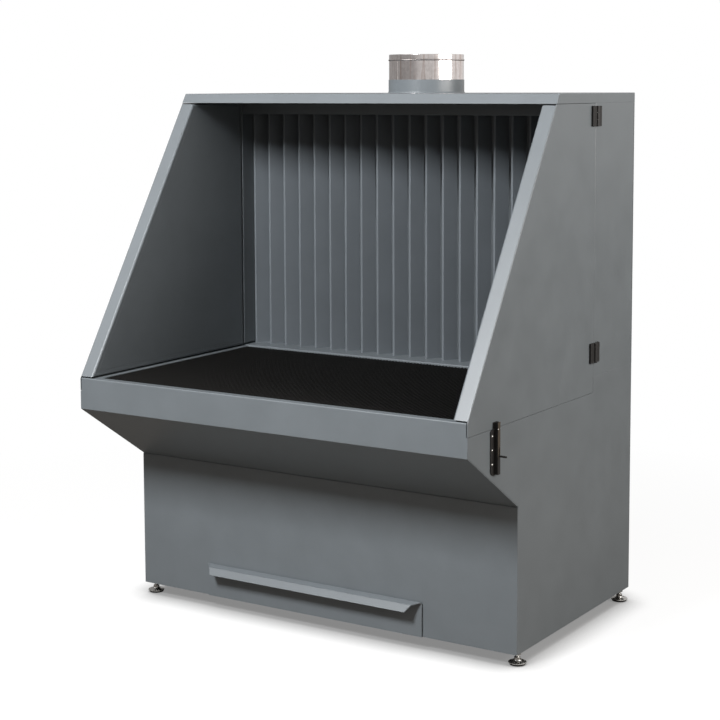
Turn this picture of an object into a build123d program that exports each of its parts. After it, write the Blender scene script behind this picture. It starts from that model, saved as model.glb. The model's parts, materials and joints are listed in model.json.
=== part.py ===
# Downdraft work table with an extraction hood, swing-out sides and a dust drawer.
# Frame: +Z up, +Y to the back, origin on the floor under the middle of the cabinet.
import os
from math import floor

from build123d import *

os.makedirs("parts", exist_ok=True)

# Overall sizes
body_width = 1290.0
body_depth = 1015.0
table_height = 717.0  # floor to the top edge of the apron
roof_height = 1538.0  # floor to the top of the roof sheet
foot_height = 36.0  # floor to the underside of the cabinet

# Sheet metal and fits
sheet = 2.0
bend = 3.0  # outside radius of a fold
edge_round = 1.5  # outer corners where two sheets meet
fit_gap = 0.3  # between pieces that seat on each other
seam = 1.0  # open joint round the outer sheets of the swing-out sides
overrun = 10.0  # how far a cutter runs past what it cuts

# Cabinet below the table
plinth_setback = 276.0  # lower front panel behind the apron
apron_height = 92.0
slant_drop = 182.0  # height of the slanted panel under the apron
slant_tab = 20.0  # tab behind the lower front panel
fold_relief = 2.0  # lower front panel below the fold of the apron
flange = 25.0  # folded edges inside the cabinet
side_ledge = 40.0  # top flange of the cabinet side
lip_depth = 28.0  # top fold of the apron
ledge_depth = 20.0  # shelf under the rim of the gratings

# Gratings
grating_height = 30.0
grating_sink = 2.0  # grating top below the apron's top edge
grating_play = 3.0  # round each grating
grating_split = 1.0  # each grating from the middle line
bar_thickness = 3.0
bar_pitch = 38.0
wire_width = 3.0
wire_height = 6.0
wire_pitch = 11.1
bearer_width = 44.0
bearer_height = 40.0
rail_width = 51.0  # flat rim beside the gratings

# Hood
roof_depth = 505.0  # roof sheet, back to front, at its top
roof_skirt = 28.0
hood_gap = 4.0  # open joint round the boxes of the swing-out sides
panel_thickness = 44.5  # swing-out sides
panel_round = 6.0  # outside radius of their inner folds
panel_lip = 15.0  # folded frame round the liner
panel_skirt = 38.0  # outer sheet of a side below the table top
housing_depth = 272.0  # fixed rear housing
housing_step = 47.0  # housing seam above the seam under the sides
seal_width = 16.0
seal_setback = 6.0  # seal behind the front of the side

# Suction wall
lamella_count = 20
lamella_pitch = 59.0
lamella_lip = 7.0  # bright front edge of a lamella
lamella_run = 25.0  # sideways run of its slanted face
lamella_depth = 40.0
lamella_return = 8.0
lamella_sheet = 1.5
lamella_bend = 2.5
lamella_inset = 2.0  # first lamella from the pillar
lamella_setback = 57.0  # lamellae behind the front of the housing
wall_back = 45.0  # sill and header behind the front of the lamellae
wall_setback = 3.0  # sill and header behind the front of the housing
sill_rise = 3.0  # sill above the table top
header_drop = 38.0  # header below the roof skirt

# Duct spigot
duct_radius = 117.5
duct_wall = 1.5
duct_setback = 120.0  # axis in front of the back panel
collar_height = 41.0
sleeve_height = 77.0  # above the collar
sleeve_insert = 30.0  # inside the collar
bead_drop = 17.0  # bead below the rim of the sleeve
bead_rise = 2.5  # bead out of the sleeve

# Drawer
drawer_width = 674.0  # opening that the tray slides through
drawer_face = 100.0
drawer_gap = 3.0  # front plate before the cabinet
drawer_lap = 14.0  # front plate beside the opening
drawer_offset = 43.0  # front plate further over to the left
drawer_overlap = 8.0  # front plate above the opening
tray_back_gap = 137.0  # tray in front of the back panel
tray_height = 85.0
tray_play = 2.0
grip_reach = 24.0
grip_fall = 5.0
grip_nose = 15.0
grip_drop = 18.5
grip_mitre = 35.0
chute_rise = 350.0
chute_foot = 96.0
baffle_gap = 10.0

# Hinges
hinge_length = 58.0
hinge_leaf = 29.0
hinge_leaf_thickness = 6.0
barrel_radius = 6.0
hinge_pin_radius = 3.0
running_gap = 0.05
upper_hinge_height = 1473.0
lower_hinge_height = 796.0

# Bolts
bolt_setback = 143.5  # bolt behind the front edge of the apron
bolt_plate_width = 50.0
bolt_plate_length = 121.0
bolt_plate_thickness = 2.5
bolt_plate_round = 16.0
bolt_guide_width = 14.0
bolt_guide_depth = 11.5
bolt_radius = 4.0
bolt_throw = 20.0
bolt_tip = 0.6  # drawn bolt above its plate
bolt_handle_height = 608.0
bolt_handle_radius = 2.75
bolt_handle_reach = 26.0
keeper_width = 22.0
keeper_length = 17.5
keeper_play = 0.4
screw_head_radius = 3.5
screw_head_height = 2.0
screw_shank_radius = 2.0
screw_drop = 17.0  # first pair of screws below the top of the plate
screw_spacing = 37.0
screw_pairs = 3
screw_offset = 17.0

# Levelling feet
foot_side_inset = 16.0
foot_end_inset = 34.0
foot_cup_radius = 25.0
foot_pad_radius = 22.0
foot_pad_height = 6.0
foot_cup_height = 6.0
foot_neck_radius = 9.0
foot_neck_height = 9.0
stem_radius = 6.0
stem_length = 60.0
nut_across_flats = 19.0
nut_height = 8.0
corner_plate_width = 28.0
corner_plate_length = 60.0
corner_plate_height = 6.0

# Places that follow from the sizes above
half_width = body_width / 2
front_y = -body_depth / 2
back_y = body_depth / 2
plinth_y = front_y + plinth_setback
hinge_y = back_y - housing_depth
apron_bottom = table_height - apron_height
slant_bottom = apron_bottom - slant_drop
ledge_height = table_height - grating_sink - grating_height
seam_height = table_height - panel_skirt
housing_bottom = seam_height + housing_step
roof_bottom = roof_height - roof_skirt
inner_x = half_width - panel_thickness
rail_inner_x = half_width - 2 * sheet - rail_width
lamella_y = hinge_y + lamella_setback
sill_height = table_height + sill_rise
header_height = roof_bottom - header_drop
floor_top = foot_height + 2 * sheet
corner_plate_top = floor_top + corner_plate_height
wall_half = inner_x - fit_gap
wall_front = hinge_y + wall_setback
wall_rear = lamella_y + wall_back
drawer_y = plinth_y - drawer_gap - sheet
tray_front = drawer_y + sheet
tray_rear = back_y - tray_back_gap
hood_lean = (body_depth - roof_depth) / (roof_height - table_height)
leaning_wall = sheet * (1 + hood_lean**2) ** 0.5  # level run through a leaning sheet


def hood_y(height):
    """Front plane of the hood at a height: it leans back from the apron to the roof."""
    return front_y + (height - table_height) * hood_lean


def folded_profile(points, radius=bend, thickness=sheet):
    """Section of a folded sheet: its outer line, with the sheet on the right-hand side."""
    start, corner = Vector(*points[0]), Vector(*points[1])
    along = (corner - start).normalized()
    inside = (start + corner) / 2 + Vector(along.Y, -along.X) * thickness / 2
    sections = []
    for side in (Side.RIGHT, Side.LEFT):
        with BuildLine() as fold_line:
            FilletPolyline(*points, radius=radius)
            offset(amount=thickness, side=side)
        sections.append(make_face(fold_line.edges(), mode=Mode.PRIVATE))
    return next(section for section in sections if section.face().is_inside(inside))


def save(piece, name):
    """Label a finished piece and write it as one STEP file named like its node."""
    piece.part.label = name
    export_step(piece.part, "parts/" + name + ".step")


def save_pair(piece, name):
    """Write the right-hand piece and its mirror image for the left-hand side."""
    with BuildPart() as opposite:
        mirror(piece.part, about=Plane.YZ)
    save(opposite, name + "_left")
    save(piece, name + "_right")


def save_grid_pair(bars, wires, name):
    """Write crossed bars and wires as one node of separate solids, and its mirror image."""
    right = Compound(label=name + "_right", children=[bars.part, wires.part])
    export_step(right, "parts/" + right.label + ".step")
    left = Compound(
        label=name + "_left",
        children=[mirror(layer.part, about=Plane.YZ, mode=Mode.PRIVATE) for layer in (bars, wires)],
    )
    export_step(left, "parts/" + left.label + ".step")


# Cabinet sides: one plate each, folded in at the bottom and under the table rim
side_clear = sheet + fit_gap
slant_normal = Vector(apron_bottom - slant_bottom, plinth_y + sheet - front_y).normalized()
slant_shift = side_clear * (1 - slant_normal.X) / slant_normal.Y
with BuildPart() as cabinet_side:
    with BuildSketch(Plane.YZ.offset(half_width - sheet)):
        Polygon(
            (plinth_y + sheet, foot_height),
            (plinth_y + sheet, slant_bottom - slant_tab - fit_gap),
            (plinth_y + sheet + side_clear, slant_bottom - slant_tab - fit_gap),
            (plinth_y + sheet + side_clear, slant_bottom + slant_shift),
            (front_y + side_clear, apron_bottom + slant_shift),
            (front_y + side_clear, seam_height),
            (hinge_y, seam_height),
            (hinge_y, housing_bottom),
            (back_y - sheet, housing_bottom),
            (back_y - sheet, foot_height),
            align=None,
        )
    extrude(amount=sheet)
    with BuildSketch(Plane.XZ.offset(-plinth_y - flange - 2 * sheet)):
        with Locations((half_width - sheet, foot_height)):
            Rectangle(flange, sheet, align=(Align.MAX, Align.MIN))
    extrude(amount=-(back_y - plinth_y - 2 * flange - 4 * sheet))
    with BuildSketch(Plane.XZ.offset(-front_y - lip_depth - sheet)):
        with Locations((half_width - sheet, seam_height)):
            Rectangle(side_ledge, sheet, align=(Align.MAX, Align.MAX))
    extrude(amount=-(hinge_y - front_y - lip_depth - sheet))
    with BuildSketch(Plane.XZ.offset(-hinge_y)):
        with Locations((half_width - sheet, housing_bottom)):
            Rectangle(side_ledge, sheet, align=(Align.MAX, Align.MAX))
    extrude(amount=-(housing_depth - sheet - flange))
    with Locations(Plane.XY.offset(foot_height)):
        with Locations(
            (half_width - foot_side_inset, plinth_y + foot_end_inset),
            (half_width - foot_side_inset, back_y - foot_end_inset),
        ):
            Cylinder(
                stem_radius + fit_gap,
                sheet * 2,
                align=(Align.CENTER, Align.CENTER, Align.CENTER),
                mode=Mode.SUBTRACT,
            )
save_pair(cabinet_side, "cabinet_side")

# Lower front panel with the drawer opening, folded back at its sides and its foot
opening_half = drawer_width / 2
with BuildPart() as front_panel:
    with BuildSketch(Plane.XZ.offset(-plinth_y)):
        with Locations((0, foot_height)):
            Rectangle(
                body_width,
                slant_bottom - fold_relief - foot_height,
                align=(Align.CENTER, Align.MIN),
            )
            Rectangle(
                2 * opening_half,
                drawer_face - drawer_overlap,
                align=(Align.CENTER, Align.MIN),
                mode=Mode.SUBTRACT,
            )
    extrude(amount=-sheet)
    outer_corners = front_panel.edges().filter_by(Axis.Z).group_by(Axis.Y)[0]
    fillet([e for e in outer_corners if abs(e.center().X) > opening_half + sheet], edge_round)
    for end in (-1, 1):
        with BuildSketch(Plane.XY.offset(corner_plate_top + fit_gap)):
            with Locations((end * (half_width - 1.5 * sheet), plinth_y + sheet)):
                Rectangle(sheet, flange, align=(Align.CENTER, Align.MIN))
        extrude(amount=slant_bottom - slant_tab - corner_plate_top - 2 * fit_gap)
        flange_run = half_width - 2 * sheet - opening_half
        with BuildSketch(Plane.XY.offset(foot_height)):
            with Locations((end * (opening_half + flange_run / 2), plinth_y + sheet)):
                Rectangle(flange_run, flange, align=(Align.CENTER, Align.MIN))
        extrude(amount=sheet)
save(front_panel, "front_panel")

# Apron: slanted panel, front face, top lip and the shelf for the gratings, all one sheet
with BuildPart() as apron:
    with BuildSketch(Plane.YZ.offset(-half_width)):
        add(folded_profile([
            (plinth_y + sheet, slant_bottom - slant_tab),
            (plinth_y + sheet, slant_bottom),
            (front_y, apron_bottom),
            (front_y, table_height),
            (front_y + lip_depth, table_height),
            (front_y + lip_depth, ledge_height),
            (front_y + lip_depth + ledge_depth, ledge_height),
        ]))
    extrude(amount=body_width)
    for end in (-1, 1):
        with BuildSketch(Plane.YZ.offset(end * half_width)):
            with Locations((front_y - overrun, seam_height)):
                Rectangle(lip_depth + 2 * overrun, panel_skirt + overrun, align=(Align.MIN, Align.MIN))
        extrude(amount=-end * 2 * sheet, mode=Mode.SUBTRACT)
        with BuildSketch(Plane.YZ.offset(end * half_width)):
            with Locations((front_y + side_clear + sheet, table_height - sheet - bend)):
                Rectangle(
                    lip_depth + ledge_depth,
                    grating_height + 2 * sheet,
                    align=(Align.MIN, Align.MAX),
                )
        extrude(amount=-end * (half_width - rail_inner_x), mode=Mode.SUBTRACT)
        with BuildSketch(Plane.YZ.offset(end * half_width)):
            with Locations((front_y + lip_depth, ledge_height - sheet - overrun)):
                Rectangle(
                    ledge_depth + overrun,
                    sheet + 2 * overrun,
                    align=(Align.MIN, Align.MIN),
                )
        ledge_end = half_width - rail_inner_x + ledge_depth + fit_gap
        extrude(amount=-end * ledge_end, mode=Mode.SUBTRACT)
save(apron, "apron")

# Back of the cabinet and the pan that the drawer runs on
with BuildPart() as cabinet_back:
    with BuildSketch(Plane.XZ.offset(-back_y)):
        with Locations((0, foot_height)):
            Rectangle(body_width, housing_bottom - foot_height, align=(Align.CENTER, Align.MIN))
    extrude(amount=sheet)
    fillet(cabinet_back.edges().filter_by(Axis.Z).group_by(Axis.Y)[-1], edge_round)
    with BuildSketch(Plane.XY.offset(foot_height)):
        with Locations((0, back_y - sheet)):
            Rectangle(body_width - 4 * sheet, flange, align=(Align.CENTER, Align.MAX))
    extrude(amount=sheet)
save(cabinet_back, "cabinet_back")

with BuildPart() as floor_pan:
    with BuildSketch(Plane.XY.offset(foot_height + sheet)):
        with Locations((0, plinth_y + sheet + fit_gap)):
            Rectangle(
                body_width - 2 * sheet - 2 * fit_gap,
                back_y - plinth_y - 2 * sheet - 2 * fit_gap,
                align=(Align.CENTER, Align.MIN),
            )
        for end_y in (plinth_y + foot_end_inset, back_y - foot_end_inset):
            with Locations(
                (-half_width + foot_side_inset, end_y),
                (half_width - foot_side_inset, end_y),
            ):
                Circle(stem_radius + fit_gap, mode=Mode.SUBTRACT)
    extrude(amount=sheet)
save(floor_pan, "floor_pan")

# Levelling feet, their corner plates and lock nuts
foot_places = {
    "front_left": (-half_width + foot_side_inset, plinth_y + foot_end_inset),
    "front_right": (half_width - foot_side_inset, plinth_y + foot_end_inset),
    "back_left": (-half_width + foot_side_inset, back_y - foot_end_inset),
    "back_right": (half_width - foot_side_inset, back_y - foot_end_inset),
}
plate_edge = half_width - sheet - fit_gap - corner_plate_width / 2
with BuildPart() as corner_plates:
    for x, y in foot_places.values():
        with BuildSketch(Plane.XY.offset(floor_top)):
            with Locations((plate_edge if x > 0 else -plate_edge, y)):
                Rectangle(corner_plate_width, corner_plate_length)
            with Locations((x, y)):
                Circle(stem_radius + running_gap, mode=Mode.SUBTRACT)
        extrude(amount=corner_plate_height)
save(corner_plates, "corner_plates")

with BuildPart() as lock_nuts:
    for x, y in foot_places.values():
        with BuildSketch(Plane.XY.offset(foot_height - nut_height)):
            with Locations((x, y)):
                RegularPolygon(nut_across_flats / 2, 6, major_radius=False)
                Circle(stem_radius + running_gap, mode=Mode.SUBTRACT)
        extrude(amount=nut_height)
save(lock_nuts, "lock_nuts")

cup_top = foot_pad_height + foot_cup_height
neck_top = cup_top + foot_neck_height
for corner, (x, y) in foot_places.items():
    with BuildPart() as foot:
        with BuildSketch(Plane.XZ.offset(-y)):
            with Locations((x, 0)):
                Polygon(
                    (0, foot_pad_height),
                    (foot_cup_radius, foot_pad_height),
                    (foot_cup_radius, foot_pad_height + sheet),
                    (foot_neck_radius, cup_top),
                    (foot_neck_radius, neck_top),
                    (stem_radius, neck_top),
                    (stem_radius, stem_length),
                    (0, stem_length),
                    align=None,
                )
        revolve(axis=Axis((x, y, 0), (0, 0, 1)))
    save(foot, "foot_" + corner)
    with BuildPart() as foot_pad:
        with BuildSketch(Plane.XY):
            with Locations((x, y)):
                Circle(foot_pad_radius)
        extrude(amount=foot_pad_height)
    save(foot_pad, "foot_pad_" + corner)

# Rims beside the gratings: the swing-out sides close on them
with BuildPart() as grating_rail:
    with BuildSketch(Plane.XZ.offset(-front_y - lip_depth)):
        add(folded_profile([
            (rail_inner_x - ledge_depth, ledge_height),
            (rail_inner_x, ledge_height),
            (rail_inner_x, table_height),
            (half_width - 2 * sheet, table_height),
            (half_width - 2 * sheet, seam_height),
        ]))
    extrude(amount=-(wall_front - front_y - lip_depth - fit_gap))
save_pair(grating_rail, "grating_rail")

# Channel under the joint between the two gratings
bearer_front = front_y + lip_depth + ledge_depth
bearer_back = wall_front - ledge_depth
with BuildPart() as centre_bearer:
    with BuildSketch(Plane.XZ.offset(-bearer_front)):
        add(folded_profile([
            (-bearer_width / 2, ledge_height - bearer_height),
            (-bearer_width / 2, ledge_height),
            (bearer_width / 2, ledge_height),
            (bearer_width / 2, ledge_height - bearer_height),
        ]))
    extrude(amount=-(bearer_back - bearer_front))
save(centre_bearer, "centre_bearer")

# Gratings: load bars, end bars and the wires welded across them
grate_inner = grating_split
grate_outer = rail_inner_x - grating_play
grate_front = front_y + lip_depth + grating_play
grate_back = wall_front - grating_play
grate_length = grate_back - grate_front
grate_bottom = ledge_height + fit_gap
bar_height = grating_height - wire_height
bar_count = floor((grate_length - bar_thickness) / bar_pitch) + 1
wire_count = floor((grate_outer - grate_inner - wire_width) / wire_pitch) + 1
grate_middle = (grate_inner + grate_outer) / 2
with BuildPart() as grating_bars:
    with BuildSketch(Plane.XY.offset(grate_bottom)):
        with Locations((grate_middle, (grate_front + grate_back) / 2)):
            Rectangle(grate_outer - grate_inner, grate_length)
            cell = (grate_length - bar_thickness) / (bar_count - 1)
            with GridLocations(0, cell, 1, bar_count - 1):
                Rectangle(
                    grate_outer - grate_inner - 2 * bar_thickness,
                    cell - bar_thickness,
                    mode=Mode.SUBTRACT,
                )
    extrude(amount=bar_height)
with BuildPart() as grating_wires:
    with BuildSketch(Plane.XY.offset(grate_bottom + bar_height)):
        with Locations((grate_middle, (grate_front + grate_back) / 2)):
            with GridLocations(wire_pitch, 0, wire_count, 1):
                Rectangle(wire_width, grate_length)
    extrude(amount=wire_height)
save_grid_pair(grating_bars, grating_wires, "grating")

# Fixed rear housing: its sides fold round to hinge pillars and end behind the lamellae
with BuildPart() as housing_side:
    with BuildSketch(Plane.XY.offset(housing_bottom)):
        add(folded_profile([
            (half_width - flange, back_y - sheet - fit_gap),
            (half_width, back_y - sheet - fit_gap),
            (half_width, hinge_y),
            (inner_x, hinge_y),
            (inner_x, wall_rear),
            (inner_x + flange, wall_rear),
        ]))
    extrude(amount=roof_bottom - housing_bottom)
save_pair(housing_side, "housing_side")

with BuildPart() as housing_back:
    with BuildSketch(Plane.XZ.offset(-back_y)):
        with Locations((0, housing_bottom)):
            Rectangle(body_width, roof_bottom - housing_bottom, align=(Align.CENTER, Align.MIN))
    extrude(amount=sheet)
    fillet(housing_back.edges().filter_by(Axis.Z).group_by(Axis.Y)[-1], edge_round)
save(housing_back, "housing_back")

# Roof: top sheet with a leaning front flange and skirts, open below, with the duct hole
duct_y = back_y - duct_setback
sleeve_outer = duct_radius - duct_wall - running_gap
sleeve_inner = sleeve_outer - duct_wall
with BuildPart() as roof:
    with BuildSketch(Plane.YZ.offset(-half_width)):
        Polygon(
            (hood_y(roof_bottom), roof_bottom),
            (hood_y(roof_height), roof_height),
            (back_y, roof_height),
            (back_y, roof_bottom),
            align=None,
        )
    extrude(amount=body_width)
    fillet(roof.faces().sort_by(Axis.Z)[-1].edges(), sheet)
    with BuildSketch(Plane.YZ.offset(-half_width + sheet)):
        Polygon(
            (hood_y(roof_bottom - overrun) + leaning_wall, roof_bottom - overrun),
            (hood_y(roof_height - sheet) + leaning_wall, roof_height - sheet),
            (back_y - sheet, roof_height - sheet),
            (back_y - sheet, roof_bottom - overrun),
            align=None,
        )
    extrude(amount=body_width - 2 * sheet, mode=Mode.SUBTRACT)
    with Locations((0, duct_y, roof_height - sheet)):
        Cylinder(sleeve_inner, 2 * overrun, mode=Mode.SUBTRACT)
save(roof, "roof")

# Header above the lamellae and sill below them
with BuildPart() as header:
    with BuildSketch(Plane.YZ.offset(-wall_half)):
        add(folded_profile([
            (wall_rear, header_height + ledge_depth),
            (wall_rear, header_height),
            (wall_front, header_height),
            (wall_front, roof_height - sheet - fit_gap),
        ]))
    extrude(amount=2 * wall_half)
save(header, "header")

with BuildPart() as sill:
    with BuildSketch(Plane.YZ.offset(-wall_half)):
        add(folded_profile([
            (wall_front - ledge_depth, ledge_height),
            (wall_front, ledge_height),
            (wall_front, sill_height),
            (wall_rear, sill_height),
            (wall_rear, sill_height - ledge_depth),
        ]))
    extrude(amount=2 * wall_half)
    for end in (-1, 1):
        with BuildSketch(Plane.YZ.offset(end * wall_half)):
            with Locations((wall_front - ledge_depth - overrun, ledge_height - sheet - overrun)):
                Rectangle(
                    ledge_depth + overrun - fit_gap,
                    sheet + 2 * overrun,
                    align=(Align.MIN, Align.MIN),
                )
        extrude(amount=-end * (wall_half - rail_inner_x + ledge_depth + fit_gap), mode=Mode.SUBTRACT)
save(sill, "sill")

# Suction wall: upright lamellae that overlap like slats, with an open slot beside each
with BuildPart() as lamellae:
    with BuildSketch(Plane.XY.offset(sill_height)):
        for index in range(lamella_count):
            lamella_x = -inner_x + lamella_inset + index * lamella_pitch
            add(folded_profile(
                [
                    (lamella_x + lamella_lip + lamella_run, lamella_y + lamella_depth),
                    (lamella_x + lamella_lip, lamella_y),
                    (lamella_x, lamella_y),
                    (lamella_x, lamella_y + lamella_return),
                ],
                lamella_bend,
                lamella_sheet,
            ))
    extrude(amount=header_height - sill_height)
save(lamellae, "lamellae")

# Duct spigot: painted collar welded on the roof, bright sleeve pushed into it
collar_top = roof_height + collar_height
with BuildPart() as duct_collar:
    with BuildSketch(Plane.XY.offset(roof_height)):
        with Locations((0, duct_y)):
            Circle(duct_radius)
            Circle(duct_radius - duct_wall, mode=Mode.SUBTRACT)
    extrude(amount=collar_height)
save(duct_collar, "duct_collar")

sleeve_bottom = collar_top - sleeve_insert
sleeve_top = collar_top + sleeve_height
bead_height = sleeve_top - bead_drop
with BuildPart() as duct_sleeve:
    with BuildSketch(Plane.XZ.offset(-duct_y)):
        Polygon(
            (sleeve_inner, sleeve_bottom),
            (sleeve_inner, sleeve_top),
            (sleeve_outer, sleeve_top),
            (sleeve_outer, bead_height + bead_rise),
            (sleeve_outer + bead_rise, bead_height + bead_rise / 2),
            (sleeve_outer + bead_rise, bead_height - bead_rise / 2),
            (sleeve_outer, bead_height - bead_rise),
            (sleeve_outer, sleeve_bottom),
            align=None,
        )
    revolve(axis=Axis((0, duct_y, 0), (0, 0, 1)))
save(duct_sleeve, "duct_sleeve")

# Swing-out sides: folded shell with a frame round its inner face, liner let into it, rubber seal
box_bottom = table_height + hood_gap
box_top = roof_bottom - hood_gap
box_rear = hinge_y - hood_gap
panel_top = roof_bottom - seam
panel_rear = hinge_y - seam


def box_outline(inset):
    """Outline of the box of a swing-out side, drawn in by an inset on all four sides."""
    lean_inset = inset * (1 + hood_lean**2) ** 0.5
    return (
        (hood_y(box_bottom + inset) + lean_inset, box_bottom + inset),
        (hood_y(box_top - inset) + lean_inset, box_top - inset),
        (box_rear - inset, box_top - inset),
        (box_rear - inset, box_bottom + inset),
    )


with BuildPart() as panel_hollow:
    with BuildSketch(Plane.YZ.offset(inner_x + sheet)):
        Polygon(*box_outline(sheet), align=None)
    extrude(amount=panel_thickness - 2 * sheet)
    fillet(panel_hollow.faces().sort_by(Axis.X)[0].edges(), panel_round - sheet)

with BuildPart() as panel_shell:
    with BuildSketch(Plane.YZ.offset(inner_x)):
        Polygon(*box_outline(0), align=None)
    extrude(amount=panel_thickness)
    fillet(panel_shell.faces().sort_by(Axis.X)[0].edges(), panel_round)
    add(panel_hollow.part, mode=Mode.SUBTRACT)
    with BuildSketch(Plane.YZ.offset(inner_x - overrun)):
        Polygon(*box_outline(panel_lip), align=None)
    extrude(amount=overrun + sheet, mode=Mode.SUBTRACT)
    with BuildSketch(Plane.YZ.offset(half_width - sheet)):
        Polygon(
            (front_y, seam_height + seam),
            (front_y, table_height),
            (hood_y(panel_top), panel_top),
            (panel_rear, panel_top),
            (panel_rear, seam_height + seam),
            align=None,
        )
    extrude(amount=sheet)
    lean = Axis((0, 0, 0), (0, hood_lean, 1))
    slanted = panel_shell.edges().filter_by(lean)
    fillet(slanted.group_by(Axis.X)[-1].sort_by(Axis.Y)[0], bend)
save_pair(panel_shell, "panel_shell")

with BuildPart() as panel_liner:
    with BuildSketch(Plane.YZ.offset(inner_x)):
        Polygon(*box_outline(panel_lip + fit_gap), align=None)
    extrude(amount=sheet)
save_pair(panel_liner, "panel_liner")

seal_x = inner_x + panel_round + edge_round
seal_front = hood_y(box_bottom) + seal_setback
with BuildPart() as panel_seal:
    with BuildSketch(Plane.XZ.offset(-seal_front)):
        with Locations((seal_x, box_bottom)):
            Rectangle(seal_width, hood_gap - fit_gap, align=(Align.MIN, Align.MAX))
    extrude(amount=-(box_rear - seal_front))
    with BuildSketch(Plane.XY.offset(housing_bottom)):
        with Locations((seal_x, box_rear)):
            Rectangle(seal_width, hood_gap - fit_gap, align=(Align.MIN, Align.MIN))
    extrude(amount=box_top - housing_bottom)
save_pair(panel_seal, "panel_seal")

# Hinges: cast leaves with an interleaved barrel, one pin each
axis_x = half_width + barrel_radius
axis_y = hinge_y - seam / 2
knuckle = hinge_length / 3
hinge_heights = (upper_hinge_height, lower_hinge_height)
leaf_gap = barrel_radius + 2 * fit_gap
with BuildPart() as hinge_leaf_fixed:
    for height in hinge_heights:
        with BuildSketch(Plane.XY.offset(height - hinge_length / 2)):
            with Locations((half_width, axis_y + leaf_gap)):
                Rectangle(
                    hinge_leaf_thickness,
                    hinge_leaf - leaf_gap,
                    align=(Align.MIN, Align.MIN),
                )
        extrude(amount=hinge_length)
        for low in (height - hinge_length / 2, height + knuckle / 2 + fit_gap / 2):
            with BuildSketch(Plane.XY.offset(low)):
                with Locations((axis_x, axis_y)):
                    Circle(barrel_radius)
                with Locations((half_width, axis_y)):
                    Rectangle(
                        hinge_leaf_thickness,
                        hinge_leaf / 2,
                        align=(Align.MIN, Align.MIN),
                    )
                with Locations((axis_x, axis_y)):
                    Circle(hinge_pin_radius, mode=Mode.SUBTRACT)
            extrude(amount=knuckle - fit_gap / 2)
save_pair(hinge_leaf_fixed, "hinge_leaf_fixed")

with BuildPart() as hinge_leaf_swing:
    for height in hinge_heights:
        with BuildSketch(Plane.XY.offset(height - hinge_length / 2)):
            with Locations((half_width, axis_y - leaf_gap)):
                Rectangle(
                    hinge_leaf_thickness,
                    hinge_leaf - leaf_gap,
                    align=(Align.MIN, Align.MAX),
                )
        extrude(amount=hinge_length)
        with BuildSketch(Plane.XY.offset(height - knuckle / 2 + fit_gap / 2)):
            with Locations((axis_x, axis_y)):
                Circle(barrel_radius)
            with Locations((half_width, axis_y)):
                Rectangle(
                    hinge_leaf_thickness,
                    hinge_leaf / 2,
                    align=(Align.MIN, Align.MAX),
                )
            with Locations((axis_x, axis_y)):
                Circle(hinge_pin_radius + running_gap, mode=Mode.SUBTRACT)
        extrude(amount=knuckle - fit_gap)
save_pair(hinge_leaf_swing, "hinge_leaf_swing")

with BuildPart() as hinge_pins:
    for height in hinge_heights:
        with BuildSketch(Plane.XY.offset(height - hinge_length / 2)):
            with Locations((axis_x, axis_y), (-axis_x, axis_y)):
                Circle(hinge_pin_radius - running_gap / 2)
        extrude(amount=hinge_length)
save(hinge_pins, "hinge_pins")

# Bolts: guide plate on the cabinet, sliding bolt with its handle, keeper on the swing-out side
bolt_y = front_y + bolt_setback
bolt_x = half_width + bolt_plate_thickness + bolt_guide_depth / 2
plate_top = seam_height - fit_gap
plate_bottom = plate_top - bolt_plate_length
guide_x = half_width + bolt_plate_thickness
slot_half = bolt_handle_radius + fit_gap
screw_middle = plate_top - screw_drop - screw_spacing * (screw_pairs - 1) / 2
with BuildPart() as bolt_plate:
    with BuildSketch(Plane.YZ.offset(half_width)):
        with Locations((bolt_y, plate_bottom)):
            Rectangle(bolt_plate_width, bolt_plate_length, align=(Align.CENTER, Align.MIN))
    extrude(amount=bolt_plate_thickness)
    foot_edges = bolt_plate.edges().filter_by(Axis.X).group_by(Axis.Z)[0]
    fillet(foot_edges, bolt_plate_round)
    with BuildSketch(Plane.XY.offset(plate_bottom + sheet)):
        with Locations((guide_x, bolt_y)):
            Rectangle(bolt_guide_depth, bolt_guide_width, align=(Align.MIN, Align.CENTER))
    extrude(amount=bolt_plate_length - sheet)
    fillet(bolt_plate.edges().filter_by(Axis.Z).group_by(Axis.X)[-1], edge_round)
    with BuildSketch(Plane.XY.offset(plate_bottom + 2 * sheet)):
        with Locations((bolt_x, bolt_y)):
            Circle(bolt_radius + running_gap)
    extrude(amount=bolt_plate_length, mode=Mode.SUBTRACT)
    with BuildSketch(Plane.YZ.offset(bolt_x)):
        with Locations((bolt_y, bolt_handle_height - slot_half)):
            Rectangle(2 * slot_half, bolt_throw + 2 * slot_half, align=(Align.CENTER, Align.MIN))
    extrude(amount=bolt_guide_depth, mode=Mode.SUBTRACT)
    with BuildSketch(Plane.YZ.offset(half_width)):
        with Locations((bolt_y, screw_middle)):
            with GridLocations(2 * screw_offset, screw_spacing, 2, screw_pairs):
                Circle(screw_shank_radius + fit_gap)
    extrude(amount=bolt_plate_thickness, mode=Mode.SUBTRACT)
save_pair(bolt_plate, "bolt_plate")

with BuildPart() as bolt_screws:
    with BuildSketch(Plane.YZ.offset(half_width)):
        with Locations((bolt_y, screw_middle)):
            with GridLocations(2 * screw_offset, screw_spacing, 2, screw_pairs):
                Circle(screw_shank_radius)
    extrude(amount=bolt_plate_thickness)
    with BuildSketch(Plane.YZ.offset(half_width + bolt_plate_thickness)):
        with Locations((bolt_y, screw_middle)):
            with GridLocations(2 * screw_offset, screw_spacing, 2, screw_pairs):
                Circle(screw_head_radius)
    extrude(amount=screw_head_height)
    mirror(about=Plane.YZ)
save(bolt_screws, "bolt_screws")

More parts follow.
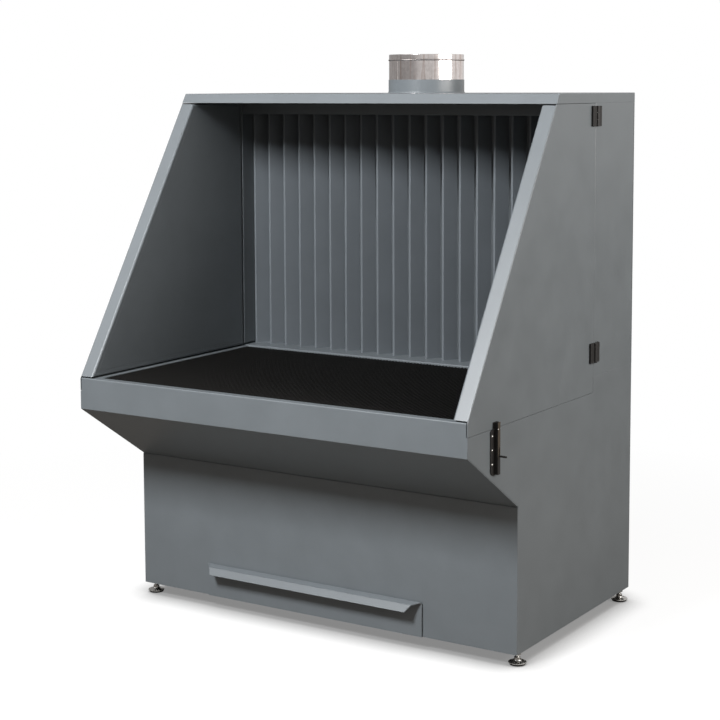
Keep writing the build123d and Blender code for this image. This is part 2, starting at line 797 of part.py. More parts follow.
handle_seat = bolt_radius / 2
with BuildPart() as bolt_rod:
    with BuildSketch(Plane.XY.offset(plate_bottom + 2 * sheet + fit_gap)):
        with Locations((bolt_x, bolt_y)):
            Circle(bolt_radius)
    extrude(amount=bolt_plate_length - 2 * sheet - fit_gap + bolt_tip)
    chamfer(bolt_rod.edges().group_by(Axis.Z)[-1], bolt_tip / 2)
    with BuildSketch(Plane.YZ.offset(bolt_x + handle_seat)):
        with Locations((bolt_y, bolt_handle_height)):
            Circle(bolt_handle_radius)
    extrude(amount=bolt_radius, mode=Mode.SUBTRACT)
save_pair(bolt_rod, "bolt_rod")

with BuildPart() as bolt_handle:
    with BuildSketch(Plane.YZ.offset(bolt_x + handle_seat)):
        with Locations((bolt_y, bolt_handle_height)):
            Circle(bolt_handle_radius)
    extrude(amount=bolt_handle_reach)
    chamfer(bolt_handle.edges().group_by(Axis.X)[-1], bolt_handle_radius / 4)
save_pair(bolt_handle, "bolt_handle")

keeper_bottom = seam_height + seam
with BuildPart() as bolt_keeper:
    with BuildSketch(Plane.XY.offset(keeper_bottom)):
        with Locations((half_width, bolt_y)):
            Rectangle(bolt_plate_thickness, keeper_width, align=(Align.MIN, Align.CENTER))
            Rectangle(
                bolt_plate_thickness + bolt_guide_depth,
                bolt_guide_width,
                align=(Align.MIN, Align.CENTER),
            )
        with Locations((bolt_x, bolt_y)):
            Circle(bolt_radius + keeper_play, mode=Mode.SUBTRACT)
    extrude(amount=keeper_length)
    fillet(bolt_keeper.edges().filter_by(Axis.Z).group_by(Axis.X)[-1], edge_round)
save_pair(bolt_keeper, "bolt_keeper")

# Dust drawer: folded plate before the cabinet with its grip along the top, and the tray behind it
drawer_half = drawer_width / 2
drawer_top = foot_height + drawer_face
grip_y = drawer_y - grip_reach
nose_y = grip_y - grip_nose
drawer_left = -drawer_half - drawer_lap - drawer_offset
drawer_right = drawer_half + drawer_lap
with BuildPart() as drawer_front:
    with BuildSketch(Plane.YZ.offset(drawer_left)):
        add(folded_profile([
            (nose_y, drawer_top - grip_fall - grip_drop),
            (grip_y, drawer_top - grip_fall),
            (drawer_y + fit_gap, drawer_top),
            (drawer_y + sheet, drawer_top - grip_fall),
            (drawer_y + sheet, foot_height),
        ], radius=edge_round * 2))
    extrude(amount=drawer_right - drawer_left)
    with BuildSketch(Plane.XY.offset(drawer_top + overrun)):
        for end_x, end in ((drawer_left, -1), (drawer_right, 1)):
            Polygon(
                (end_x + end * overrun, drawer_y),
                (end_x, drawer_y),
                (end_x - end * grip_mitre, nose_y),
                (end_x - end * grip_mitre, nose_y - overrun),
                (end_x + end * overrun, nose_y - overrun),
                align=None,
            )
    extrude(amount=-(grip_fall + grip_drop + 3 * overrun), mode=Mode.SUBTRACT)
save(drawer_front, "drawer_front")

tray_bottom = floor_top + fit_gap
tray_half = drawer_half - tray_play
tray_length = tray_rear - tray_front
with BuildPart() as drawer_tray:
    with BuildSketch(Plane.XY.offset(tray_bottom)):
        with Locations((0, tray_front)):
            Rectangle(2 * tray_half, tray_length, align=(Align.CENTER, Align.MIN))
    extrude(amount=tray_height)
    with BuildSketch(Plane.XY.offset(tray_bottom + sheet)):
        with Locations((0, tray_front + sheet)):
            Rectangle(
                2 * tray_half - 2 * sheet,
                tray_length - 2 * sheet,
                align=(Align.CENTER, Align.MIN),
            )
    extrude(amount=tray_height, mode=Mode.SUBTRACT)
save(drawer_tray, "drawer_tray")

# Chutes that lead the dust to the drawer and guide the tray, and the baffle behind it
chute_x = drawer_half + tray_play
chute_front = plinth_y + sheet + flange + fit_gap
chute_back = tray_rear + baffle_gap
with BuildPart() as dust_chute:
    with BuildSketch(Plane.XZ.offset(-chute_front)):
        add(folded_profile([
            (chute_x, floor_top),
            (chute_x, floor_top + chute_foot),
            (half_width - 2 * sheet - fit_gap, floor_top + chute_foot + chute_rise),
        ]))
    extrude(amount=-(chute_back - chute_front))
save_pair(dust_chute, "dust_chute")

with BuildPart() as rear_baffle:
    with BuildSketch(Plane.YZ.offset(-half_width + sheet + fit_gap)):
        add(folded_profile([
            (chute_back + fit_gap, floor_top),
            (chute_back + fit_gap, floor_top + chute_foot),
            (back_y - 2 * sheet - fit_gap, floor_top + chute_foot + chute_rise),
        ]))
    extrude(amount=body_width - 2 * sheet - 2 * fit_gap)
save(rear_baffle, "rear_baffle")
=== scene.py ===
"""Downdraft table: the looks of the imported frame, laid out as an add-on.

Lengths are in metres, and those of a profile in millimetres.
"""
import json
import math
from contextlib import contextmanager

import bmesh
import bpy
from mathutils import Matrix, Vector


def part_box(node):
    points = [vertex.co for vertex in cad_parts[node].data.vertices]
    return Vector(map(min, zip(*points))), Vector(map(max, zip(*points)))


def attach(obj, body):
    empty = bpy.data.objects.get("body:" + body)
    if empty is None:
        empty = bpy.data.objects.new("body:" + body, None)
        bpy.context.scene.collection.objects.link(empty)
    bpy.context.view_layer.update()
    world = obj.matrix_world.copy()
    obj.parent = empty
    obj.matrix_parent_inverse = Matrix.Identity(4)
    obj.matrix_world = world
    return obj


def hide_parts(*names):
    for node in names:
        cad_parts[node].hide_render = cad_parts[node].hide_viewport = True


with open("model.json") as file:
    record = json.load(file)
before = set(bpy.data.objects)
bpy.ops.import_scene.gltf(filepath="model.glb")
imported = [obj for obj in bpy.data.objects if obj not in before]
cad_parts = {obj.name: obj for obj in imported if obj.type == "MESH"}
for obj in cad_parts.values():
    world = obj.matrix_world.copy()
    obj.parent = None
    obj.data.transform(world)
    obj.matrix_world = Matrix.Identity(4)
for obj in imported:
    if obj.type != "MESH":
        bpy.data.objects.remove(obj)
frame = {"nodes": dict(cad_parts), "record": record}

bl_info = {
    "name": "Downdraft Table",
    "version": (1, 0, 0),
    "blender": (4, 5, 0),
    "location": "View3D > Sidebar > Downdraft Table",
    "description": "Dresses the frame of a downdraft table with its pieces and finishes",
    "category": "Object",
}

MM = 0.001
CREASE = math.radians(32)  # turned and folded pieces shade smooth over folds below this
SPARE = 0.001  # keeps a whole number of steps from being rounded down
SIDES = ("left", "right")
CORNERS = ("front_left", "back_left", "back_right", "front_right")
BODY_OF = {
    node: body
    for body, nodes in frame["record"]["behaviour"]["bodies"].items()
    for node in nodes
}
SLOT_OF = {part["node"]: part["material_slot"] for part in frame["record"]["subparts"]}


# Selecting and editing

def only(*objects):
    """Deselect everything, then select these objects and make the last one active."""
    bpy.ops.object.select_all(action="DESELECT")
    for piece in objects:
        piece.select_set(True)
    bpy.context.view_layer.objects.active = objects[-1]


@contextmanager
def editing(piece, kind="verts", wanted=None):
    """Open a piece in edit mode with all or the wanted verts, edges or faces selected."""
    only(piece)
    kinds = ("verts", "edges", "faces")
    bpy.context.tool_settings.mesh_select_mode = [kind == each for each in kinds]
    bpy.ops.object.mode_set(mode="EDIT")
    bpy.ops.mesh.select_all(action="SELECT" if wanted is None else "DESELECT")
    if wanted:
        mesh = bmesh.from_edit_mesh(piece.data)
        chosen = [item for item in getattr(mesh, kind) if wanted(item)]
        if not chosen:
            raise RuntimeError(piece.name + ": nothing to edit there")
        for item in chosen:
            item.select_set(True)
        mesh.select_flush_mode()
        bmesh.update_edit_mesh(piece.data)
    yield
    bpy.ops.object.mode_set(mode="OBJECT")


def middle(item):
    """Middle of an edge or a face."""
    return sum((corner.co for corner in item.verts), Vector()) / len(item.verts)


def along(edge, axis):
    """Whether an edge runs along an axis, 0 to 2."""
    way = edge.verts[1].co - edge.verts[0].co
    return abs(way[axis]) > 0.99 * way.length


def modify(piece, kind, **settings):
    """Add a modifier with its settings and apply it."""
    only(piece)
    modifier = piece.modifiers.new(kind, kind)
    for key, value in settings.items():
        setattr(modifier, key, value)
    bpy.ops.object.modifier_apply(modifier=modifier.name)
    return piece


def settle(piece):
    """Move a piece's place, turn and scale into its mesh."""
    only(piece)
    bpy.ops.object.transform_apply(location=True, rotation=True, scale=True)
    return piece


# Starting and repeating pieces

def block(low, high):
    """A block between two corners, to be shaped further."""
    low, high = Vector(low), Vector(high)
    bpy.ops.object.select_all(action="DESELECT")
    bpy.ops.mesh.primitive_cube_add(size=1, location=(low + high) / 2, scale=high - low)
    return settle(bpy.context.object)


def drawn(points):
    """A line of edges through these points, drawn by extruding a vertex."""
    bpy.ops.object.select_all(action="DESELECT")
    bpy.ops.mesh.primitive_plane_add(size=MM, location=points[0])
    piece = settle(bpy.context.object)
    with editing(piece):
        bpy.ops.mesh.merge(type="CENTER")
        for here, there in zip(points, points[1:]):
            bpy.ops.mesh.extrude_vertices_move(TRANSFORM_OT_translate={"value": there - here})
    return piece


def turned(profile, centre, steps, upright=True):
    """Spin a profile of (radius, height) in millimetres about an upright axis, or one along X."""
    up, out = Vector((0, 0, 1)), Vector((1, 0, 0))
    if not upright:
        up, out = out, up
    piece = drawn([centre + (out * radius + up * height) * MM for radius, height in profile])
    with editing(piece):
        bpy.ops.mesh.spin(steps=steps, angle=2 * math.pi, center=centre, axis=up)
        bpy.ops.mesh.select_all(action="SELECT")
        bpy.ops.mesh.remove_doubles(threshold=0.001 * MM)
        bpy.ops.mesh.normals_make_consistent(inside=False)
    only(piece)
    bpy.ops.object.shade_smooth_by_angle(angle=CREASE)
    return piece


def copied(node):
    """A copy of a node of the frame, its loose triangles merged into whole faces."""
    piece = bpy.data.objects.new(node + "_copy", frame["nodes"][node].data.copy())
    bpy.context.scene.collection.objects.link(piece)
    only(piece)
    bpy.ops.mesh.customdata_custom_splitnormals_clear()
    with editing(piece):
        bpy.ops.mesh.remove_doubles(threshold=0.005 * MM)
        bpy.ops.mesh.dissolve_limited(angle_limit=math.radians(0.5))
    return piece


def joined(pieces):
    """Join pieces into one."""
    only(*pieces)
    bpy.ops.object.join()
    return bpy.context.object


def repeated(piece, count, step):
    """Repeat a piece at equal steps."""
    return modify(
        piece, "ARRAY", count=count, use_relative_offset=False, use_constant_offset=True,
        constant_offset_displace=step,
    )


def shifted(piece, move):
    """A copy of a piece with its own mesh, moved."""
    only(piece)
    bpy.ops.object.duplicate_move(
        OBJECT_OT_duplicate={"linked": False}, TRANSFORM_OT_translate={"value": move}
    )
    return settle(bpy.context.object)


def mirrored(piece):
    """A copy of a right-hand piece for the left-hand side, its faces turned outwards again."""
    only(piece)
    bpy.ops.object.duplicate(linked=False)
    bpy.ops.transform.mirror(constraint_axis=(True, False, False), orient_type="GLOBAL")
    twin = settle(bpy.context.object)
    with editing(twin):
        bpy.ops.mesh.normals_make_consistent(inside=False)
    return twin


# Finishing pieces

def soften(piece, width, segments=2, clamp=False):
    """Break the sharp edges and shade smooth, with the flat faces kept flat."""
    modify(
        piece, "BEVEL", width=width, segments=segments, limit_method="ANGLE",
        angle_limit=math.radians(30), use_clamp_overlap=clamp,
    )
    bpy.ops.object.shade_smooth(keep_sharp_edges=False)
    return modify(piece, "WEIGHTED_NORMAL", keep_sharp=True)


def coat(piece, finish):
    """Give a piece one finish all over."""
    piece.data.materials.clear()
    piece.data.materials.append(finish)


def put(piece, name, *nodes, finish=None):
    """Name a finished piece, coat it, and let it ride in the place of its nodes."""
    piece.name = piece.data.name = name
    coat(piece, finish or finish_for(SLOT_OF[nodes[0]]))
    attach(piece, BODY_OF[nodes[0]])
    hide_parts(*nodes)


# Sizes and colours that a user would change

def length(name, description, default):
    """A length property, its default in millimetres."""
    return bpy.props.FloatProperty(
        name=name, description=description, default=default * MM, unit="LENGTH"
    )


def linear(hex_colour):
    """Linear colour of an sRGB hex value."""
    parts = [int(hex_colour[i:i + 2], 16) / 255 for i in (1, 3, 5)]
    return tuple(
        part / 12.92 if part <= 0.04045 else ((part + 0.055) / 1.055) ** 2.4 for part in parts
    )


def swatch(name, description, default):
    """A colour property, its default an sRGB hex value."""
    return bpy.props.FloatVectorProperty(
        name=name, description=description, default=linear(default), subtype="COLOR", size=3
    )


class DowndraftSizes(bpy.types.PropertyGroup):
    """Sizes of the dressed pieces, beside those that the frame gives."""

    cut_softness: length("Cut softness", "Broken edge of a cut sheet", 0.4)
    fitting_softness: length("Fitting softness", "Rounded edge of hinges, bolts and nuts", 0.4)
    slat_pitch: length("Slat pitch", "From one lamella of the suction wall to the next", 59)
    slat_sheet: length("Slat sheet", "Thickness of a lamella", 1.5)
    slat_bend: length("Slat bend", "Radius of a lamella's folds", 2.5)
    wire_pitch: length("Wire pitch", "From one wire of a grating to the next", 11.1)
    wire_width: length("Wire width", "Width of a grating wire", 3)
    wire_height: length("Wire height", "Height of a grating wire", 6)
    bar_pitch: length("Bar pitch", "Least step from one grating bar to the next", 38)
    bar_thickness: length("Bar thickness", "Thickness of a grating bar", 3)
    hinge_length: length("Hinge length", "Height of a hinge", 58)
    hinge_corner: length("Hinge corner", "Radius of a hinge leaf's outer corners", 3)
    plate_shoulder: length("Plate shoulder", "Radius of a bolt plate's upper corners", 8)
    thread_pitch: length("Thread pitch", "Pitch of the levelling feet's thread", 1.75)
    bead_rise: length("Bead rise", "Bead out of the duct sleeve", 2.5)


class DowndraftColours(bpy.types.PropertyGroup):
    """Colours of the finishes, before light."""

    paint: swatch("Paint", "Blue-grey powder coat of the sheet metal", "#6D7377")
    slat_paint: swatch("Slat paint", "Powder coat of the suction wall", "#6D7378")
    grating: swatch("Grating", "Dark oxidised steel of the gratings", "#080705")
    heat: swatch("Heat tint", "Browned steel beside the grating's welds", "#17110D")
    sleeve: swatch("Sleeve", "Bright galvanised sheet of the duct sleeve", "#E0DAD8")
    # Painted reflection: the sleeve's brown streaks stand in for its reflected surroundings
    reflection_streak: swatch("Sleeve stain", "Run marks down the duct sleeve", "#BBA9A0")
    fitting: swatch("Fittings", "Black dip coat of the hinges and bolt plates", "#0F0D0C")
    # Browned steel on the outer face of the bolt plates above the handle, lighter than the black
    # coat
    bare: swatch("Bare steel", "Browned steel where the bolt guide is rubbed", "#625A50")
    zinc: swatch("Zinc", "Bright zinc of the screws, rods and levelling feet", "#C9C8C5")
    rubber: swatch("Rubber", "Black rubber of the foot pads and door seals", "#19191A")


# Materials

def add_node(tree, kind, settings=(), links=()):
    """Add a node, set its properties or sockets by name, and link its inputs by name."""
    node = tree.nodes.new(kind)
    for key, value in dict(settings).items():
        if isinstance(key, str) and hasattr(node, key):
            setattr(node, key, value)
        else:
            node.inputs[key].default_value = value
    for key, source in dict(links).items():
        tree.links.new(source, node.inputs[key])
    return node


def surface(name, colour, roughness, metallic=0.0, ior=1.5):
    """A new material with one Principled shader, its tree and its Object coordinates."""
    finish = bpy.data.materials.new(name)
    finish.use_nodes = True
    tree = finish.node_tree
    shader = tree.nodes["Principled BSDF"]
    shader.inputs["Base Color"].default_value = (*colour, 1)
    shader.inputs["Roughness"].default_value = roughness
    shader.inputs["Metallic"].default_value = metallic
    if not metallic:
        shader.inputs["IOR"].default_value = ior
    place = add_node(tree, "ShaderNodeTexCoord").outputs["Object"]
    return finish, tree, shader, place


def polyester_powder(name, colour):
    """Polyester powder baked on sheet steel: satin, with orange peel and clouds of 110 mm."""
    finish, tree, shader, place = surface(name, colour, 0.36)
    clouds = add_node(
        tree, "ShaderNodeTexNoise", {"Scale": 1 / (110 * MM), "Detail": 4, "Roughness": 0.6},
        {"Vector": place},
    ).outputs["Fac"]
    # The peel's waves are about 1 mm, too fine to show, so they are drawn 2 mm wide
    waves = add_node(
        tree, "ShaderNodeTexNoise", {"Scale": 1 / (2 * MM), "Detail": 2}, {"Vector": place},
    ).outputs["Fac"]
    shade = add_node(
        tree, "ShaderNodeMath", {"operation": "MULTIPLY_ADD", 1: 0.22, 2: 0.89}, {0: clouds},
    )
    tint = add_node(
        tree, "ShaderNodeVectorMath", {"operation": "SCALE", 0: colour},
        {"Scale": shade.outputs[0]},
    )
    tree.links.new(tint.outputs["Vector"], shader.inputs["Base Color"])
    satin = add_node(
        tree, "ShaderNodeMapRange",
        {"From Min": 0.3, "From Max": 0.7, "To Min": 0.33, "To Max": 0.39}, {"Value": clouds},
    )
    tree.links.new(satin.outputs["Result"], shader.inputs["Roughness"])
    peel = add_node(
        tree, "ShaderNodeBump", {"Strength": 0.12, "Distance": 0.03 * MM}, {"Height": waves},
    )
    tree.links.new(peel.outputs["Normal"], shader.inputs["Normal"])
    return finish


def galvanised_sheet(name, colours):
    """Hot-dip galvanised steel sheet: mirror-like zinc, spangles of 9 mm and brown streaks of
    painted reflection.
    """
    finish, tree, shader, place = surface(name, colours.sleeve, 0.14, 1.0)
    spangles = add_node(
        tree, "ShaderNodeTexVoronoi", {"Scale": 1 / (9 * MM), "Randomness": 1.0},
        {"Vector": place},
    )
    tone = add_node(
        tree, "ShaderNodeMapRange", {"To Min": 0.9, "To Max": 1.06},
        {"Value": spangles.outputs["Color"]},
    )
    crystal = add_node(
        tree, "ShaderNodeVectorMath", {"operation": "SCALE", 0: colours.sleeve},
        {"Scale": tone.outputs["Result"]},
    )
    # Painted reflection: brown streaks 7 mm wide down the sheet stand in for the reflected
    # surroundings
    drawn_out = add_node(
        tree, "ShaderNodeMapping", {"Scale": (1 / (7 * MM), 1 / (7 * MM), 1 / (160 * MM))},
        {"Vector": place},
    )
    streak_noise = add_node(
        tree, "ShaderNodeTexNoise", {"Scale": 1.0, "Detail": 4, "Roughness": 0.6},
        {"Vector": drawn_out.outputs["Vector"]},
    )
    painted_streaks = add_node(
        tree, "ShaderNodeMapRange", {"From Min": 0.5, "From Max": 0.68, "To Max": 0.75},
        {"Value": streak_noise.outputs["Fac"]},
    )
    streak_painted = add_node(
        tree, "ShaderNodeMix", {"data_type": "RGBA", 7: (*colours.reflection_streak, 1)},
        {0: painted_streaks.outputs["Result"], 6: crystal.outputs["Vector"]},
    )
    tree.links.new(streak_painted.outputs[2], shader.inputs["Base Color"])
    polish = add_node(
        tree, "ShaderNodeMapRange",
        {"From Min": 0.35, "From Max": 0.65, "To Min": 0.09, "To Max": 0.2},
        {"Value": streak_noise.outputs["Fac"]},
    )
    tree.links.new(polish.outputs["Result"], shader.inputs["Roughness"])
    dents = add_node(
        tree, "ShaderNodeBump", {"Strength": 0.15, "Distance": 0.2 * MM},
        {"Height": streak_noise.outputs["Fac"]},
    )
    tree.links.new(dents.outputs["Normal"], shader.inputs["Normal"])
    return finish


# Heights above the floor between which the coat of a bolt's plate ends and bare steel begins
BARE_HEIGHTS = (600 * MM, 612 * MM)


def black_dip(name, colours, bare_beyond=None):
    """Black dip coat on cast and pressed steel: half matt, with dust-grey scuffs of 6 mm.

    Where a distance from the table's middle is given, the coat gives way beyond it and above the
    bolt's handle to browned steel with fine upright scratches, lighter than the coat.
    """
    finish, tree, shader, place = surface(name, colours.fitting, 0.55)
    scuffs = add_node(
        tree, "ShaderNodeTexNoise", {"Scale": 1 / (6 * MM), "Detail": 5, "Roughness": 0.65},
        {"Vector": place},
    ).outputs["Fac"]
    worn = add_node(
        tree, "ShaderNodeMapRange", {"From Min": 0.52, "From Max": 0.75, "To Max": 0.12},
        {"Value": scuffs},
    )
    coat_colour = add_node(
        tree, "ShaderNodeMix",
        {"data_type": "RGBA", 6: (*colours.fitting, 1), 7: (*colours.bare, 1)},
        {0: worn.outputs["Result"]},
    ).outputs[2]
    gloss = add_node(
        tree, "ShaderNodeMapRange",
        {"From Min": 0.3, "From Max": 0.7, "To Min": 0.5, "To Max": 0.66}, {"Value": scuffs},
    ).outputs["Result"]
    if bare_beyond:
        apart = add_node(tree, "ShaderNodeSeparateXYZ", {}, {0: place}).outputs
        out = add_node(tree, "ShaderNodeMath", {"operation": "ABSOLUTE"}, {0: apart["X"]})
        beyond = add_node(
            tree, "ShaderNodeMath", {"operation": "GREATER_THAN", 1: bare_beyond},
            {0: out.outputs[0]},
        )
        above = add_node(
            tree, "ShaderNodeMapRange",
            {"From Min": BARE_HEIGHTS[0], "From Max": BARE_HEIGHTS[1]}, {"Value": apart["Z"]},
        )
        bare = add_node(
            tree, "ShaderNodeMath", {"operation": "MULTIPLY"},
            {0: beyond.outputs[0], 1: above.outputs["Result"]},
        ).outputs[0]
        upright = add_node(
            tree, "ShaderNodeMapping", {"Scale": (1 / MM, 1 / MM, 1 / (18 * MM))},
            {"Vector": place},
        )
        scratches = add_node(
            tree, "ShaderNodeTexNoise", {"Scale": 1.0, "Detail": 3},
            {"Vector": upright.outputs["Vector"]},
        )
        steel = add_node(
            tree, "ShaderNodeMapRange",
            {"From Min": 0.35, "From Max": 0.65, "To Min": 0.7, "To Max": 1.1},
            {"Value": scratches.outputs["Fac"]},
        )
        steel_colour = add_node(
            tree, "ShaderNodeVectorMath", {"operation": "SCALE", 0: colours.bare},
            {"Scale": steel.outputs["Result"]},
        )
        coat_colour = add_node(
            tree, "ShaderNodeMix", {"data_type": "RGBA"},
            {0: bare, 6: coat_colour, 7: steel_colour.outputs["Vector"]},
        ).outputs[2]
        tree.links.new(bare, shader.inputs["Metallic"])
    tree.links.new(coat_colour, shader.inputs["Base Color"])
    tree.links.new(gloss, shader.inputs["Roughness"])
    grain = add_node(
        tree, "ShaderNodeBump", {"Strength": 0.3, "Distance": 0.06 * MM}, {"Height": scuffs},
    )
    tree.links.new(grain.outputs["Normal"], shader.inputs["Normal"])
    return finish


def bright_zinc(name, colours):
    """Electroplated zinc, blue-passivated: bright, with a cloudy bloom of 8 mm."""
    finish, tree, shader, place = surface(name, colours.zinc, 0.24, 1.0)
    bloom = add_node(
        tree, "ShaderNodeTexNoise", {"Scale": 1 / (8 * MM), "Detail": 4}, {"Vector": place},
    ).outputs["Fac"]
    cloud = add_node(
        tree, "ShaderNodeMapRange",
        {"From Min": 0.35, "From Max": 0.65, "To Min": 0.86, "To Max": 1.04}, {"Value": bloom},
    )
    plated = add_node(
        tree, "ShaderNodeVectorMath", {"operation": "SCALE", 0: colours.zinc},
        {"Scale": cloud.outputs["Result"]},
    )
    tree.links.new(plated.outputs["Vector"], shader.inputs["Base Color"])
    dull = add_node(
        tree, "ShaderNodeMapRange",
        {"From Min": 0.35, "From Max": 0.65, "To Min": 0.2, "To Max": 0.34}, {"Value": bloom},
    )
    tree.links.new(dull.outputs["Result"], shader.inputs["Roughness"])
    return finish


def moulded_rubber(name, colours):
    """Black rubber, moulded or foamed: matt, with a grain of 1 mm and a chalky bloom."""
    finish, tree, shader, place = surface(name, colours.rubber, 0.72, ior=1.52)
    grain = add_node(
        tree, "ShaderNodeTexNoise", {"Scale": 1 / MM, "Detail": 3}, {"Vector": place},
    ).outputs["Fac"]
    bloom = add_node(
        tree, "ShaderNodeTexNoise", {"Scale": 1 / (14 * MM), "Detail": 4}, {"Vector": place},
    ).outputs["Fac"]
    chalk = add_node(
        tree, "ShaderNodeMapRange",
        {"From Min": 0.35, "From Max": 0.7, "To Min": 0.85, "To Max": 1.7}, {"Value": bloom},
    )
    dusty = add_node(
        tree, "ShaderNodeVectorMath", {"operation": "SCALE", 0: colours.rubber},
        {"Scale": chalk.outputs["Result"]},
    )
    tree.links.new(dusty.outputs["Vector"], shader.inputs["Base Color"])
    skin = add_node(
        tree, "ShaderNodeBump", {"Strength": 0.35, "Distance": 0.08 * MM}, {"Height": grain},
    )
    tree.links.new(skin.outputs["Normal"], shader.inputs["Normal"])
    return finish


def oxidised_grating(name, colours):
    """Pressure-welded steel left dark: mill scale in patches of 16 mm, browned at each weld."""
    finish, tree, shader, place = surface(name, colours.grating, 0.68)
    scale = add_node(
        tree, "ShaderNodeTexNoise", {"Scale": 1 / (16 * MM), "Detail": 5, "Roughness": 0.65},
        {"Vector": place},
    ).outputs["Fac"]
    flakes = add_node(
        tree, "ShaderNodeMapRange",
        {"From Min": 0.35, "From Max": 0.65, "To Min": 0.7, "To Max": 1.35}, {"Value": scale},
    )
    flaked = add_node(
        tree, "ShaderNodeVectorMath", {"operation": "SCALE", 0: colours.grating},
        {"Scale": flakes.outputs["Result"]},
    )
    # Each wire is welded to each bar, so the tint comes back at the step of the bars
    low, _, thickness, step, _ = grating_rows(bpy.context.scene.downdraft_sizes)
    depth = add_node(tree, "ShaderNodeSeparateXYZ", {}, {0: place}).outputs["Y"]
    from_first = add_node(
        tree, "ShaderNodeMath", {"operation": "SUBTRACT", 1: low.y + thickness / 2}, {0: depth},
    )
    from_bar = add_node(
        tree, "ShaderNodeMath", {"operation": "PINGPONG", 1: step / 2},
        {0: from_first.outputs[0]},
    )
    heat = add_node(
        tree, "ShaderNodeMapRange",
        {"From Min": 1.5 * MM, "From Max": 7 * MM, "To Min": 0.8, "To Max": 0.0},
        {"Value": from_bar.outputs[0]},
    )
    burnt = add_node(
        tree, "ShaderNodeMix", {"data_type": "RGBA", 7: (*colours.heat, 1)},
        {0: heat.outputs["Result"], 6: flaked.outputs["Vector"]},
    )
    tree.links.new(burnt.outputs[2], shader.inputs["Base Color"])
    crust = add_node(
        tree, "ShaderNodeBump", {"Strength": 0.4, "Distance": 0.15 * MM}, {"Height": scale},
    )
    tree.links.new(crust.outputs["Normal"], shader.inputs["Normal"])
    return finish


# Slot of the record: name of its material, and what makes it from that name and the colours
FINISHES = {
    "powder_coat": (
        "polyester_powder", lambda name, colours: polyester_powder(name, colours.paint)
    ),
    "lamella_paint": (
        "slat_powder", lambda name, colours: polyester_powder(name, colours.slat_paint)
    ),
    "grating_steel": ("oxidised_grating", oxidised_grating),
    "galvanised_sleeve": ("galvanised_sheet", galvanised_sheet),
    "black_fitting": ("black_dip", black_dip),
    "zinc_plated": ("bright_zinc", bright_zinc),
    "seal_rubber": ("sponge_rubber", moulded_rubber),
    "foot_rubber": ("moulded_rubber", moulded_rubber),
}


def finish_for(slot):
    """The finish of one of the record's slots, made at its first use."""
    name, recipe = FINISHES[slot]
    return bpy.data.materials.get(name) or recipe(name, bpy.context.scene.downdraft_colours)


# The stage

def seamless_paper():
    """Seamless paper: white to the eye where light falls, grey in shadow, dull to other rays."""
    finish = bpy.data.materials.new("seamless_paper")
    finish.use_nodes = True
    tree = finish.node_tree
    tree.nodes.clear()
    path = add_node(tree, "ShaderNodeLightPath").outputs
    seen = add_node(
        tree, "ShaderNodeMath", {"operation": "MAXIMUM"},
        {0: path["Is Camera Ray"], 1: path["Is Transmission Ray"]},
    )
    place = add_node(tree, "ShaderNodeTexCoord").outputs["Object"]
    far = add_node(tree, "ShaderNodeVectorMath", {"operation": "LENGTH"}, {0: place})
    fade = add_node(
        tree, "ShaderNodeMapRange", {"From Min": 1.2, "From Max": 2.6},
        {"Value": far.outputs["Value"]},
    )
    # Light from all round is weak near the cabinet's foot, which gives the soft contact shadow
    open_sky = add_node(tree, "ShaderNodeAmbientOcclusion", {"samples": 16, "Distance": 0.12})
    contact = add_node(
        tree, "ShaderNodeMapRange",
        {"From Min": 0.4, "From Max": 0.93, "To Min": 0.24, "To Max": 0.9},
        {"Value": open_sky.outputs["AO"]},
    )
    paper = add_node(tree, "ShaderNodeBsdfDiffuse", {"Color": (0.14, 0.14, 0.14, 1)})
    glow = add_node(
        tree, "ShaderNodeEmission", {"Color": (1, 1, 1, 1)},
        {"Strength": contact.outputs["Result"]},
    )
    lit = add_node(tree, "ShaderNodeAddShader", {}, {0: paper.outputs[0], 1: glow.outputs[0]})
    white = add_node(tree, "ShaderNodeEmission", {"Color": (1, 1, 1, 1), "Strength": 1.0})
    faded = add_node(
        tree, "ShaderNodeMixShader", {},
        {0: fade.outputs["Result"], 1: lit.outputs[0], 2: white.outputs[0]},
    )
    dull = add_node(tree, "ShaderNodeBsdfDiffuse", {"Color": (0.19, 0.175, 0.16, 1)})
    both = add_node(
        tree, "ShaderNodeMixShader", {},
        {0: seen.outputs[0], 1: dull.outputs[0], 2: faded.outputs[0]},
    )
    add_node(tree, "ShaderNodeOutputMaterial", {}, {"Surface": both.outputs[0]})
    return finish


DIM_WALLS = 0.36  # what gloss shows between the reflectors
REFLECTORS = (
    # Only gloss shows them: towards, cosine at the edge and at the core, strength
    ((0.72, 0.66, 0.2), 0.1, 0.8, 0.54),  # long wall at the right and behind
    ((-0.52, -0.6, 0.6), 0.935, 0.99, 3.3),  # soft box high on the left
    ((0.6, -0.8, 0.0), 0.72, 0.95, 0.35),  # screen behind the camera
)


